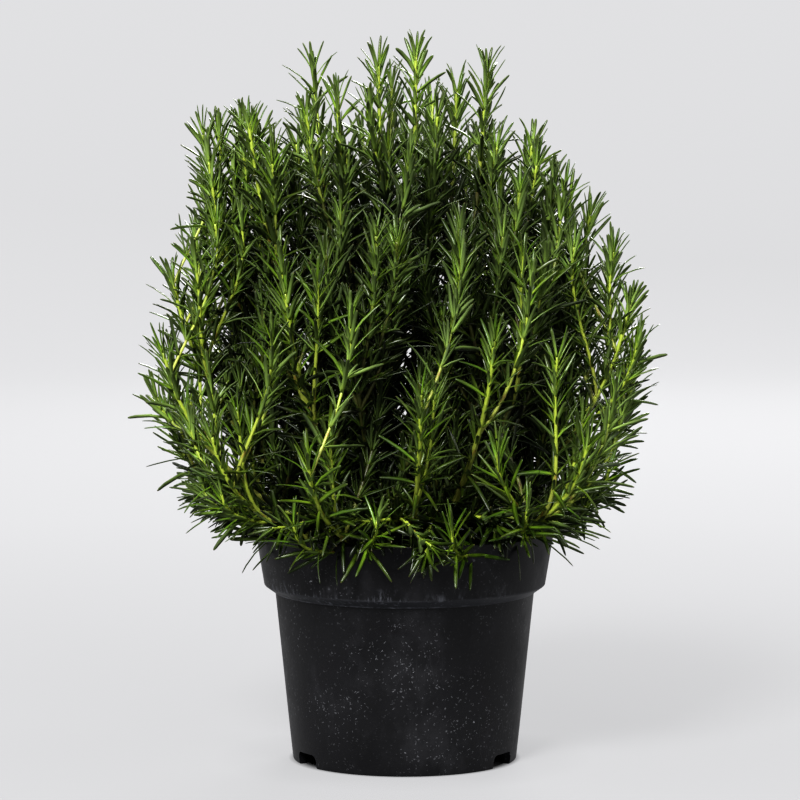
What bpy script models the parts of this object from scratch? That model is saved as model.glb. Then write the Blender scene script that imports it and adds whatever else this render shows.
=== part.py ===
"""A rosemary plant in a round black nursery pot.

The pot's axis is Z, the pot stands on Z = 0, and -Y is the front. Lengths are in metres.
Every shoot is two pieces: a square stem, planted in the soil, and the leaves around it.
"""

import math

import bmesh
import bpy
from mathutils import Matrix, Vector
from mathutils.bvhtree import BVHTree
from mathutils.geometry import interpolate_bezier

MM = 0.001
GAP = 0.3 * MM  # left between pieces that touch
TURN_STEPS = 48
MERGE = 0.00001

# The pot, a turned shell with a collar round its mouth
POT_HEIGHT = 147 * MM
RIM_RADIUS = 95 * MM
COLLAR_HEIGHT = 35 * MM
COLLAR_TAPER = 5.5 * MM  # how much narrower the collar is at its lower edge
COLLAR_STEP = 7.2 * MM  # how far the wall steps in below the collar
COLLAR_SLOPE = 5 * MM  # the height over which it steps in
BODY_TAPER = 11 * MM
WALL = 1.6 * MM
FOOT_HEIGHT = 6 * MM  # the floor is raised this far off the ground
FOOT_WIDTH = 3.2 * MM
FOOT_ROUND = 1.2 * MM

# Drain notches, cut through the foot and the edge of the floor
NOTCH_ANGLES = (90, 210, 330)
NOTCH_WIDTH = 22 * MM
NOTCH_TOP = 8.5 * MM
NOTCH_DEPTH = 14 * MM
NOTCH_ROUND = 2.5 * MM

# Soil
SOIL_BELOW_RIM = 14 * MM
SOIL_DOME = 4 * MM
SOIL_EDGE_DROP = 2 * MM

# Shoots: where each one's tip stands, as its direction from the pot's axis in degrees (0 is
# +X, 270 is the front), its distance from the axis and the height of its top leaves, in mm.
SHOOTS = (
    (305, 12, 458),
    (347, 53, 448),
    (50, 52, 436),
    (118, 36, 452),
    (152, 66, 449),
    (216, 52, 432),
    (199, 103, 417),
    (178, 127, 409),
    (9, 82, 402),
    (10, 120, 358),
    (351, 143, 303),
    (17, 156, 256),
    (184, 147, 318),
    (195, 156, 274),
    (170, 154, 230),
    (274, 136, 256),
    (295, 128, 287),
    (311, 92, 348),
    (247, 150, 218),
    (231, 116, 314),
    (251, 100, 304),
    (325, 106, 332),
    (319, 148, 222),
    (217, 148, 226),
    (122, 130, 350),
    (62, 126, 342),
    (146, 150, 283),
    (36, 148, 290),
    (93, 143, 268),
)
ROOT_SPREAD = 0.26  # a stem leaves the soil at this share of its tip's distance from the axis
PLANTED = 8 * MM  # how deep each stem stands in the soil
TOP_LEAVES = 12 * MM  # how far the top leaves reach above the stem's end
STEM_POINTS = 10
STEM_RADIUS = 1.9 * MM  # to the corners of its square section
STEM_TIP_RADIUS = 0.9 * MM
SQUARE = ((1, 0), (0, 1), (-1, 0), (0, -1))

# Leaves: narrow needles in whorls of four, on a thin sheath that clasps the stem
SHEATH_WALL = 0.7 * MM
BARE_POINTS = 2  # a stem is bare up to this point of its path
WHORL_SPACING = 18.5 * MM
TOP_WHORL_SPACING = 7 * MM
LEAF_LENGTH = 28 * MM
TOP_LEAF_LENGTH = 17 * MM
LEAF_BASE = 3 * MM
LEAF_ANGLE = 66  # degrees between a low leaf and its stem
TOP_LEAF_ANGLE = 20
SIDE_LEAF_SHARE = 0.72  # every other leaf of a whorl is shorter by this
LEAF_TRIM = 0.85  # a leaf that meets another piece is shortened by this until it's clear
SHORTEST_LEAF = 4 * MM


def clear_scene():
    for obj in list(bpy.data.objects):
        bpy.data.objects.remove(obj, do_unlink=True)


def new_collection(name):
    collection = bpy.data.collections.new(name)
    bpy.context.scene.collection.children.link(collection)
    return collection


def plain_material(name, colour, roughness):
    material = bpy.data.materials.new(name)
    material.use_nodes = True
    shader = material.node_tree.nodes["Principled BSDF"]
    shader.inputs["Base Color"].default_value = (*colour, 1)
    shader.inputs["Roughness"].default_value = roughness
    material.diffuse_color = (*colour, 1)
    return material


def add_object(name, mesh, collection, material=None):
    obj = bpy.data.objects.new(name, mesh)
    collection.objects.link(obj)
    if material:
        mesh.materials.append(material)
    return obj


def turned(name, outline, closed, collection, material):
    """An outline in the XZ plane, turned about Z."""
    mesh = bpy.data.meshes.new(name)
    shape = bmesh.new()
    points = [shape.verts.new((radius, 0, height)) for radius, height in outline]
    for start, end in zip(points, points[1:]):
        shape.edges.new((start, end))
    if closed:
        shape.edges.new((points[-1], points[0]))
    shape.to_mesh(mesh)
    shape.free()
    obj = add_object(name, mesh, collection, material)
    screw = obj.modifiers.new("Turn", "SCREW")
    screw.axis = "Z"
    screw.steps = TURN_STEPS
    screw.render_steps = TURN_STEPS
    screw.use_merge_vertices = True
    screw.merge_threshold = MERGE
    screw.use_smooth_shade = False
    return obj


def cut(obj, cutter, label):
    boolean = obj.modifiers.new(label, "BOOLEAN")
    boolean.operation = "DIFFERENCE"
    boolean.solver = "EXACT"
    boolean.object = cutter


def hide_cutter(obj):
    obj.hide_render = True
    obj.display_type = "WIRE"


# The heights and radii that the pot and the soil share
COLLAR_BOTTOM = POT_HEIGHT - COLLAR_HEIGHT
COLLAR_FOOT = RIM_RADIUS - COLLAR_TAPER
SHOULDER = COLLAR_BOTTOM - COLLAR_SLOPE
SHOULDER_RADIUS = COLLAR_FOOT - COLLAR_STEP
FOOT_RADIUS = SHOULDER_RADIUS - BODY_TAPER
FLOOR_TOP = FOOT_HEIGHT + WALL
SOIL_TOP = POT_HEIGHT - SOIL_BELOW_RIM


def body_radius(height):
    """The pot's outer radius below its collar."""
    return FOOT_RADIUS + BODY_TAPER * height / SHOULDER


def collar_radius(height):
    return COLLAR_FOOT + COLLAR_TAPER * (height - COLLAR_BOTTOM) / COLLAR_HEIGHT


def make_pot(collection, material):
    foot_inside = FOOT_RADIUS - FOOT_ROUND - FOOT_WIDTH
    outline = (
        (RIM_RADIUS - WALL / 4, POT_HEIGHT),
        (RIM_RADIUS, POT_HEIGHT - WALL / 2),
        (collar_radius(COLLAR_BOTTOM + FOOT_ROUND), COLLAR_BOTTOM + FOOT_ROUND),
        (COLLAR_FOOT - FOOT_ROUND, COLLAR_BOTTOM - FOOT_ROUND),
        (SHOULDER_RADIUS, SHOULDER),
        (body_radius(FOOT_ROUND), FOOT_ROUND),
        (FOOT_RADIUS - FOOT_ROUND, 0),
        (foot_inside, 0),
        (foot_inside, FOOT_HEIGHT),
        (0, FOOT_HEIGHT),
        (0, FLOOR_TOP),
        (body_radius(FLOOR_TOP) - WALL, FLOOR_TOP),
        (SHOULDER_RADIUS - WALL, SHOULDER),
        (COLLAR_FOOT - WALL, COLLAR_BOTTOM + WALL),
        (RIM_RADIUS - WALL, POT_HEIGHT - WALL / 2),
        (RIM_RADIUS - WALL * 3 / 4, POT_HEIGHT),
    )
    return turned("pot", outline, True, collection, material)


def notch_cutter(cutters, angle):
    """A block with its two upper edges rounded, across the foot at this angle."""
    shape = bmesh.new()
    height = NOTCH_TOP + FOOT_HEIGHT
    bmesh.ops.create_cube(shape, size=1)
    bmesh.ops.scale(shape, verts=shape.verts, vec=(2 * NOTCH_DEPTH, NOTCH_WIDTH, height))
    upper = [e for e in shape.edges if all(v.co.z > 0 for v in e.verts) and is_along_x(e)]
    bmesh.ops.bevel(
        shape, geom=upper, offset=NOTCH_ROUND, segments=2, profile=0.5, affect="EDGES"
    )
    bmesh.ops.translate(shape, verts=shape.verts, vec=(FOOT_RADIUS, 0, NOTCH_TOP - height / 2))
    bmesh.ops.rotate(shape, verts=shape.verts, matrix=Matrix.Rotation(math.radians(angle), 3, "Z"))
    mesh = bpy.data.meshes.new("drain_notch")
    shape.to_mesh(mesh)
    shape.free()
    cutter = add_object(f"drain_notch_{angle}", mesh, cutters)
    hide_cutter(cutter)
    return cutter


def is_along_x(edge):
    along = edge.verts[0].co - edge.verts[1].co
    return abs(along.x) > abs(along.y) + abs(along.z)


def make_soil(collection, material):
    outline = (
        (0, SOIL_TOP + SOIL_DOME),
        (SHOULDER_RADIUS * 0.6, SOIL_TOP + SOIL_DOME / 2),
        (collar_radius(SOIL_TOP) - WALL - 2 * GAP, SOIL_TOP - SOIL_EDGE_DROP),
        (COLLAR_FOOT - WALL - GAP, COLLAR_BOTTOM + WALL + GAP),
        (SHOULDER_RADIUS - WALL - GAP, SHOULDER + GAP),
        (body_radius(FLOOR_TOP) - WALL - GAP, FLOOR_TOP + GAP),
        (0, FLOOR_TOP + GAP),
    )
    return turned("soil", outline, False, collection, material)


def stem_path(azimuth, reach, height):
    """Points from below the soil to the stem's end, rising first, then out, then up."""
    out = Matrix.Rotation(math.radians(azimuth), 3, "Z") @ Vector((1, 0, 0))
    up = Vector((0, 0, 1))
    root = out * (reach * MM * ROOT_SPREAD) + up * (SOIL_TOP - PLANTED)
    tip = out * (reach * MM) + up * (height * MM - TOP_LEAVES)
    chord = tip - root
    leaves_soil = max(math.radians(40), math.atan2(chord.z, chord.xy.length) - math.radians(4))
    ends = math.radians(90 - reach / 13)
    first = out * math.cos(leaves_soil) + up * math.sin(leaves_soil)
    last = out * math.cos(ends) + up * math.sin(ends)
    return interpolate_bezier(
        root,
        root + first * chord.length * 0.3,
        tip - last * chord.length * 0.42,
        tip,
        STEM_POINTS,
    )


def path_frames(path):
    """At each point, two directions square to the path that don't twist along it."""
    frames = []
    side = Vector((-path[-1].y, path[-1].x, 0)).normalized()
    for index, point in enumerate(path):
        before = path[max(index - 1, 0)]
        after = path[min(index + 1, len(path) - 1)]
        along = (after - before).normalized()
        side = (side - along * side.dot(along)).normalized()
        frames.append((side.copy(), along.cross(side)))
    return frames


class Route:
    """A stem's path, read at any distance along its straight pieces."""

    def __init__(self, path):
        self.path = path
        self.frames = path_frames(path)
        self.marks = [0.0]
        for start, end in zip(path, path[1:]):
            self.marks.append(self.marks[-1] + (end - start).length)
        self.length = self.marks[-1]

    def place(self, distance):
        """The point and the two side directions this far along, also past the end."""
        index = 0
        while index < len(self.path) - 2 and distance > self.marks[index + 1]:
            index += 1
        step = self.marks[index + 1] - self.marks[index]
        share = (distance - self.marks[index]) / step
        point = self.path[index].lerp(self.path[index + 1], share)
        share = min(share, 1.0)
        side, other = (
            self.frames[index][k].lerp(self.frames[index + 1][k], share) for k in (0, 1)
        )
        return point, side, other

    def along(self, distance):
        _, side, other = self.place(distance)
        return side.cross(other).normalized()

    def radius(self, distance):
        share = min(distance / self.length, 1.0)
        return STEM_RADIUS + (STEM_TIP_RADIUS - STEM_RADIUS) * share

    def corners(self, distance, outside=0.0):
        """The stem's square section here, or one whose sides lie this far outside it."""
        point, side, other = self.place(distance)
        radius = self.radius(distance) + outside * math.sqrt(2)
        return [point + (side * a + other * b) * radius for a, b in SQUARE]


class Tube:
    """A square tube made by extruding its end again and again."""

    def __init__(self, corners):
        self.shape = bmesh.new()
        bmesh.ops.create_circle(self.shape, cap_ends=True, segments=4, radius=1)
        self.shape.faces.ensure_lookup_table()
        self.end = self.shape.faces[0]
        self.ring = list(self.end.verts)
        self.move_end(corners)

    def move_end(self, corners):
        for vertex, corner in zip(self.ring, corners):
            vertex.co = corner

    def extrude_to(self, corners):
        """The four side faces that this makes, in the corners' order."""
        inner = [self.end] if len(self.shape.faces) > 1 else []
        grown = bmesh.ops.extrude_face_region(self.shape, geom=[self.end])["geom"]
        bmesh.ops.delete(self.shape, geom=inner, context="FACES_ONLY")
        sides = {v: e.other_vert(v) for v in self.ring for e in v.link_edges if e.other_vert(v) in grown}
        self.end = next(g for g in grown if isinstance(g, bmesh.types.BMFace))
        before = self.ring
        self.ring = [sides[v] for v in before]
        self.move_end(corners)
        faces = []
        for index, vertex in enumerate(before):
            pair = {vertex, self.ring[(index + 1) % 4]}
            faces.append(next(f for f in vertex.link_faces if pair <= set(f.verts)))
        return faces

    def closed(self):
        bmesh.ops.recalc_face_normals(self.shape, faces=self.shape.faces)
        return self.shape


def make_stem(route):
    tube = Tube(route.corners(0))
    for mark in route.marks[1:]:
        tube.extrude_to(route.corners(mark))
    return tube.closed()


def make_socket(route):
    """What the soil leaves free around a stem."""
    tube = Tube(route.corners(-GAP, GAP))
    for mark in route.marks[1:3]:
        tube.extrude_to(route.corners(mark, GAP))
    return tube.closed()


def whorl_distances(route):
    """Distances along the stem at which leaves grow, closer together towards its end."""
    start = route.marks[BARE_POINTS] + WHORL_SPACING / 2
    distances = []
    distance = route.length
    while distance > start:
        distances.append(distance)
        below = min((route.length - distance) / (5 * WHORL_SPACING), 1.0)
        distance -= TOP_WHORL_SPACING + (WHORL_SPACING - TOP_WHORL_SPACING) * math.sqrt(below)
    return distances[::-1]


class Leaves:
    """The leaves of one shoot, grown on a sheath with a blind bore that the stem fills."""

    def __init__(self, route):
        self.route = route
        self.needles = []
        bore = [*route.marks[BARE_POINTS:], route.length + GAP]
        tube = Tube(route.corners(bore[-1], GAP))
        for distance in bore[-2::-1]:
            tube.extrude_to(route.corners(distance, GAP))
        tube.extrude_to(self.skin(bore[0]))
        whorls = whorl_distances(route)
        leaf_faces = []
        stops = [(mark, False) for mark in bore[1:-1]] + [(whorl, True) for whorl in whorls]
        for distance, leafy in sorted(stops):
            if not leafy:
                if min(abs(distance - w) for w in whorls) > LEAF_BASE:
                    tube.extrude_to(self.skin(distance))
                continue
            tube.extrude_to(self.skin(distance - LEAF_BASE / 2))
            leaf_faces.append((distance, tube.extrude_to(self.skin(distance + LEAF_BASE / 2))))
        self.shape = tube.closed()
        self.grow_tip(tube.end)
        for whorl, (distance, faces) in enumerate(leaf_faces):
            for side, face in enumerate(faces):
                self.grow(face, distance, (whorl + side) % 2 == 0)

    def skin(self, distance):
        return self.route.corners(distance, GAP + SHEATH_WALL)

    def grow_tip(self, face):
        self.raise_needle(face, self.route.along(self.route.length) * TOP_LEAF_LENGTH * 0.6)

    def grow(self, face, distance, is_long):
        to_tip = min((self.route.length - distance) / (6 * WHORL_SPACING), 1.0)
        length = TOP_LEAF_LENGTH + (LEAF_LENGTH - TOP_LEAF_LENGTH) * math.sqrt(to_tip)
        angle = TOP_LEAF_ANGLE + (LEAF_ANGLE - TOP_LEAF_ANGLE) * to_tip ** 0.7
        if not is_long:
            length *= SIDE_LEAF_SHARE
            angle *= SIDE_LEAF_SHARE
        along = self.route.along(distance)
        outward = face.calc_center_median() - self.route.place(distance)[0]
        outward = (outward - along * outward.dot(along)).normalized()
        turn = math.radians(angle)
        self.raise_needle(face, (along * math.cos(turn) + outward * math.sin(turn)) * length)

    def raise_needle(self, face, reach):
        """The face drawn out to a point."""
        base = face.calc_center_median()
        point = bmesh.ops.poke(self.shape, faces=[face])["verts"][0]
        point.co = base + reach
        self.needles.append((point, base))

    def trim(self, faces):
        """Shortens each leaf that one of these faces belongs to."""
        corners = {vertex for face in faces for vertex in face.verts}
        trimmed = 0
        for point, base in self.needles:
            if point in corners and (point.co - base).length > SHORTEST_LEAF:
                point.co = base + (point.co - base) * LEAF_TRIM
                trimmed += 1
        return trimmed


def surface_tree(shape):
    shape.faces.ensure_lookup_table()
    shape.faces.index_update()
    return BVHTree.FromBMesh(shape)


def trim_meeting_leaves(all_leaves, others):
    """Shortens leaves until none runs into another shoot, the pot or the soil."""
    fixed = [surface_tree(shape) for shape in others]
    for _ in range(40):
        trees = [surface_tree(leaves.shape) for leaves in all_leaves]
        meeting = [set() for _ in all_leaves]
        for index, tree in enumerate(trees):
            for other in range(index + 1, len(trees)):
                for here, there in tree.overlap(trees[other]):
                    meeting[index].add(here)
                    meeting[other].add(there)
            for other in fixed:
                meeting[index].update(here for here, _ in tree.overlap(other))
        trimmed = 0
        for leaves, faces in zip(all_leaves, meeting):
            trimmed += leaves.trim([leaves.shape.faces[face] for face in faces])
        if not trimmed:
            break


def evaluated_shape(obj):
    shape = bmesh.new()
    shape.from_object(obj, bpy.context.evaluated_depsgraph_get())
    return shape


def to_object(shape, name, collection, material=None):
    mesh = bpy.data.meshes.new(name)
    shape.to_mesh(mesh)
    shape.free()
    return add_object(name, mesh, collection, material)


def make_plant():
    clear_scene()
    parts = new_collection("potted_rosemary")
    cutters = new_collection("cutters")
    cutters.hide_render = True
    black_plastic = plain_material("black_plastic", (0.013, 0.013, 0.015), 0.5)
    potting_soil = plain_material("potting_soil", (0.022, 0.014, 0.009), 0.95)
    green_stem = plain_material("green_stem", (0.26, 0.32, 0.07), 0.55)
    rosemary_leaf = plain_material("rosemary_leaf", (0.05, 0.12, 0.025), 0.45)

    pot = make_pot(parts, black_plastic)
    soil = make_soil(parts, potting_soil)
    for angle in NOTCH_ANGLES:
        cut(pot, notch_cutter(cutters, angle), f"Notch {angle}")

    routes = [Route(stem_path(*shoot)) for shoot in SHOOTS]
    stems = [make_stem(route) for route in routes]
    all_leaves = [Leaves(route) for route in routes]
    bpy.context.view_layer.update()
    solids = [evaluated_shape(pot), evaluated_shape(soil)]
    trim_meeting_leaves(all_leaves, stems + solids)
    for shape in solids:
        shape.free()

    for number, (route, stem, leaves) in enumerate(zip(routes, stems, all_leaves), start=1):
        socket = to_object(make_socket(route), f"socket_{number:02d}", cutters)
        hide_cutter(socket)
        cut(soil, socket, f"Socket {number:02d}")
        to_object(stem, f"stem_{number:02d}", parts, green_stem)
        to_object(leaves.shape, f"leaves_{number:02d}", parts, rosemary_leaf)


make_plant()
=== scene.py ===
"""The look of a potted rosemary: needles, square stems, crumbly soil and a dusty black pot.

Lengths are in metres, +Z is up and -Y is the front. Every shoot of the frame keeps its place:
its centre line is read from its stem, and its needles are grown along that line again.
"""

import math
import random

import bmesh
import bpy
import numpy as np
from mathutils import Matrix, Vector, noise


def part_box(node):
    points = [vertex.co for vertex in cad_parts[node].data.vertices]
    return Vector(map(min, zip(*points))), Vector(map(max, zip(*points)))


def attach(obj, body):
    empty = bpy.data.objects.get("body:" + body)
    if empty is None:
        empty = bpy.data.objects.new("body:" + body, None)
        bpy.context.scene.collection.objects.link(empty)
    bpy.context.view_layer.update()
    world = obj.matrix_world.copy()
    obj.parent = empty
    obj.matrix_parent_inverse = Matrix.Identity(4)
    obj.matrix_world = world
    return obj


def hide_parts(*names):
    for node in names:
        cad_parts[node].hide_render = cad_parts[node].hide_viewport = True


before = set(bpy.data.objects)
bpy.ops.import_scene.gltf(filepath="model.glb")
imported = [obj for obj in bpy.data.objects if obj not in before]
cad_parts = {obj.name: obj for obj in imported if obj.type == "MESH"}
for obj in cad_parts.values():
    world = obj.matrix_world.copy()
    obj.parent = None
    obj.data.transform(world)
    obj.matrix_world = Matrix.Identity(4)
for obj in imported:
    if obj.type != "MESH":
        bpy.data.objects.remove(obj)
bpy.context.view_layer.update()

MM = 0.001
bpy.ops.object.select_all(action="DESELECT")

# The pot, at the frame's height and width
POT_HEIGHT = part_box("pot")[1][2]
RIM_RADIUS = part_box("pot")[1][0]
COLLAR_BOTTOM = POT_HEIGHT - 35 * MM
COLLAR_FOOT = RIM_RADIUS - 5.5 * MM
SHOULDER = COLLAR_BOTTOM - 5 * MM
SHOULDER_RADIUS = COLLAR_FOOT - 7.2 * MM
FOOT_RADIUS = SHOULDER_RADIUS - 11 * MM
WALL = 1.6 * MM
FLOOR_UNDER = 6 * MM
POT_SIDES = 144
NOTCH_ANGLES = (90, 210, 330)
NOTCH_WIDTH = 22 * MM
NOTCH_TOP = 8.5 * MM
NOTCH_DEPTH = 28 * MM
NOTCH_CORNER = 4 * MM

# Soil, domed inside one radius and sunken outside it
SOIL_TOP = POT_HEIGHT - 14 * MM
SOIL_DOME = SHOULDER_RADIUS * 0.6
SOIL_GAP = WALL + 0.3 * MM
SOIL_SIDES = 120
SOIL_RINGS = 36
CRUMB_COUNT = 700
GRIT_COUNT = 45

# Needles, by their distance from the shoot's tip in mm: angle from the stem in degrees,
# length, width and the step to the next pair of leaves in mm
NEEDLE_ANGLE = ((0, 8), (5, 16), (12, 23), (25, 31), (55, 41), (110, 53), (200, 69))
NEEDLE_LENGTH = ((0, 18.5), (5, 21), (15, 24.5), (30, 26.5), (60, 27), (120, 28), (200, 29))
NEEDLE_WIDTH = ((0, 2.0), (15, 2.4), (60, 2.7), (120, 2.9), (200, 3.3))
PAIR_STEP = ((0, 2.0), (8, 3.6), (20, 6.0), (45, 9.5), (90, 14), (160, 18))
GROWN_AT = 90 * MM  # leaves are grown up this far from the tip
GROWN_AGE = 0.52  # chart shares past this one, up to 1, are painted shade for leaves deep in the bush
TUFTS_FROM = 14 * MM  # no small leaves in the axils nearer the tip than this
FULL_TUFTS = 60 * MM  # and fewer of them farther from it than this
SHADES = 8  # columns of the leaf chart, from young to old, then darker with painted shade deep in the bush
TRIALS = 4  # rows of the leaf chart, each a little different
CHART_EDGE = 0.04  # what each cell of the chart keeps free along its edges
# Places across a needle on its cell: the upper side about its midrib, then the underside
MIDRIB = 0.31
UPPER_SPAN = 0.6
UNDER_FROM = 0.62
UNDER_MIDDLE = 0.82
UNDER_SPAN = 0.34

# Stems
STEM_CHART = 0.36  # the length of stem that the stem chart covers
STEM_SHADES = 4  # columns of the stem chart, from unshaded to painted shade deep in the bush
STEM_SIDES = 8
STEM_GIRTH = 1.2
MAIN_STEM_BARE = 30 * MM
SIDE_STEM_BARE = 8 * MM
SECTORS = 12  # the side shoots are gathered into this many pieces round the bush

# Side shoots: direction from the pot's axis, distance from it and height of the tip, in mm
SIDE_SHOOTS = (
    (343, 104, 372), (300, 72, 338), (297, 40, 384), (205, 90, 396), (240, 44, 424),
    (346, 150, 278), (226, 112, 286), (190, 158, 243), (196, 132, 190), (333, 126, 178),
    (262, 122, 176), (284, 118, 170), (238, 128, 172), (305, 130, 182), (215, 138, 188),
    (10, 136, 215), (172, 132, 204), (270, 60, 372), (255, 40, 398), (330, 66, 400),
    (185, 118, 372), (0, 104, 366), (345, 140, 232), (207, 136, 262), (160, 110, 380),
    (28, 108, 376), (178, 148, 268), (196, 136, 330), (166, 138, 340), (186, 132, 296),
    (205, 146, 226), (158, 150, 236), (2, 142, 262), (352, 132, 334), (14, 136, 324),
    (335, 144, 250), (25, 150, 232), (355, 130, 196), (182, 124, 184), (200, 108, 352),
    (340, 112, 338), (188, 96, 410), (350, 84, 388), (212, 72, 420), (328, 84, 372),
    (90, 95, 402), (75, 70, 425), (118, 104, 396), (60, 100, 398), (80, 122, 352),
    (105, 128, 318), (50, 126, 345), (130, 134, 300), (77, 138, 262), (95, 136, 225),
    (120, 138, 230), (60, 138, 235), (40, 140, 250), (142, 138, 262), (30, 136, 300),
    (150, 128, 330), (182, 102, 396), (194, 122, 352), (98, 60, 436), (140, 84, 412),
    (180, 104, 304), (187, 99, 270), (173, 108, 286), (193, 106, 250), (167, 104, 324),
    (0, 104, 304), (7, 99, 270), (353, 108, 286), (347, 106, 250), (13, 104, 324),
    (202, 96, 300), (338, 96, 300), (183, 88, 330), (357, 88, 336), (176, 112, 232), (4, 112, 232),
    (176, 118, 408), (171, 105, 412), (187, 124, 390), (179, 92, 406), (184, 108, 382), (174, 127, 370),
    (254, 119, 300), (289, 106, 334), (231, 129, 286), (242, 114, 320), (309, 123, 322), (267, 95, 344),
    (313, 136, 274), (221, 136, 240), (323, 136, 232), (249, 126, 222), (278, 124, 250), (296, 128, 218),
    (95, 30, 310), (85, 68, 322), (265, 45, 300), (270, 20, 336),
)
# Shoots that fill the bush, spread by the golden angle: how many, the widest reach in mm,
# and the lowest and highest share of the bush's height there
FILL_TIERS = ((30, 122, 0.84, 0.95), (52, 104, 0.6, 0.86), (60, 112, 0.42, 0.62), (40, 104, 0.34, 0.42))
GOLDEN_ANGLE = 137.5
# The bush's outline in mm: its height by the distance from its axis, and its reach by the height
BUSH_HEIGHT = ((0, 452), (60, 440), (105, 402), (130, 345), (146, 280), (156, 225))
BUSH_REACH = ((130, 112), (180, 138), (230, 156), (300, 146), (345, 130), (402, 105), (440, 60), (460, 30))
# A side shoot leaves a main stem about this far under its own tip, and this far beside it
FORK_UNDER = 95 * MM
FORK_ASIDE = 30 * MM
FORK_LEAST = 22 * MM
LEAVES_PAST_TIP = 10  # how far the top leaves stand over the stem's end, in mm

# Low shoots that hang over the pot's rim: direction where each leaves the soil, how far it
# sweeps round, and the reach and height of its tip in mm
SKIRT_SHOOTS = (
    (262, 16, 116, 150), (284, -8, 118, 146), (240, -12, 122, 158), (300, 22, 120, 160),
    (318, 14, 118, 168), (222, -18, 120, 166), (252, 10, 108, 162), (274, -20, 110, 166),
    (292, 12, 112, 168), (335, 18, 124, 170), (205, -16, 126, 172), (310, -10, 110, 160),
    (230, 12, 112, 164), (350, 10, 122, 166), (190, -12, 122, 168), (12, 14, 120, 164),
    (35, -12, 118, 160), (60, 16, 120, 168), (85, -14, 116, 158), (108, 12, 120, 166),
    (132, -12, 118, 160), (155, 14, 122, 168), (172, -10, 118, 162), (98, 18, 112, 152),
)
# How far the low shoots' leaves move along the leaf chart: older-looking tips, painted shade farther down
LOW_SHOOT_AGED_AND_SHADED = 0.5
LOW_SHOOT_BROAD = 1.3

# The studio's softboxes: name, place, width, height and power. All of them face the plant
PLANT_MIDDLE = Vector((0, 0, 0.27))
SOFTBOXES = (
    ("key_softbox", (-0.8, -2.2, 2.1), 0.8, 0.8, 205),
    ("fill_softbox", (1.4, -2.2, 1.3), 0.9, 1.2, 30),
    ("back_softbox", (0.5, 2.6, 1.8), 1.2, 1.2, 120),
    ("left_strip", (-2.2, 0.3, 1.6), 0.7, 1.3, 18),
    ("right_strip", (2.2, 0.3, 1.6), 0.7, 1.3, 24),
)
COVE_OUTLINE = ((4.6, 4.2), (4.6, 1.6))
COVE_BEND = 1.6
CAMERA_PLACE = Vector((-0.003, -2.5, 0.45))
CAMERA_TARGET = Vector((-0.003, 0, 0.229))
CAMERA_LENS = 178


def material_of(name, roughness, **constants):
    """A new material and its Principled shader, with constants set on the shader's sockets."""
    material = bpy.data.materials.new(name)
    material.use_nodes = True
    shader = material.node_tree.nodes["Principled BSDF"]
    shader.inputs["Roughness"].default_value = roughness
    for socket, value in constants.items():
        shader.inputs[socket.replace("_", " ")].default_value = value
    return material, shader


def add_node(material, kind, inputs=(), **settings):
    """A node whose inputs are set, or linked where the value is a socket."""
    node = material.node_tree.nodes.new("ShaderNode" + kind)
    for key, value in settings.items():
        setattr(node, key, value)
    for socket, value in dict(inputs).items():
        if isinstance(value, bpy.types.NodeSocket):
            material.node_tree.links.new(value, node.inputs[socket])
        else:
            node.inputs[socket].default_value = value
    return node


def calculate(material, operation, first, second=0.0):
    return add_node(material, "Math", {0: first, 1: second}, operation=operation).outputs[0]


def times(material, first, second):
    return calculate(material, "MULTIPLY", first, second)


def distance_from(material, value, middle):
    return calculate(material, "ABSOLUTE", calculate(material, "SUBTRACT", value, middle))


def blend_colour(material, share, low, high):
    low = (*low, 1) if isinstance(low, tuple) else low
    high = (*high, 1) if isinstance(high, tuple) else high
    return add_node(material, "Mix", {0: share, 6: low, 7: high}, data_type="RGBA").outputs[2]


def stretch(material, value, low, high, to_low=0.0, to_high=1.0):
    """The value's range from low to high moved to another, and clamped there."""
    inputs = {"Value": value, "From Min": low, "From Max": high, "To Min": to_low, "To Max": to_high}
    return add_node(material, "MapRange", inputs).outputs["Result"]


def place_of(material, scale=(1, 1, 1), turn=(0, 0, 0)):
    """The point's place in the object's own coordinates, scaled and turned."""
    where = add_node(material, "TexCoord").outputs["Object"]
    inputs = {"Vector": where, "Scale": scale, "Rotation": turn}
    return add_node(material, "Mapping", inputs).outputs["Vector"]


def flat_place(material, x, y):
    return add_node(material, "CombineXYZ", {"X": x, "Y": y}).outputs["Vector"]


def grain(material, vector, scale, detail=3.0, roughness=0.5):
    inputs = {"Vector": vector, "Scale": scale, "Detail": detail, "Roughness": roughness}
    return add_node(material, "TexNoise", inputs).outputs["Fac"]


def link(material, output, target):
    material.node_tree.links.new(output, target)


def roughen(material, shader, height, strength, distance):
    bump = add_node(material, "Bump", {"Height": height, "Strength": strength, "Distance": distance})
    link(material, bump.outputs["Normal"], shader.inputs["Normal"])


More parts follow.
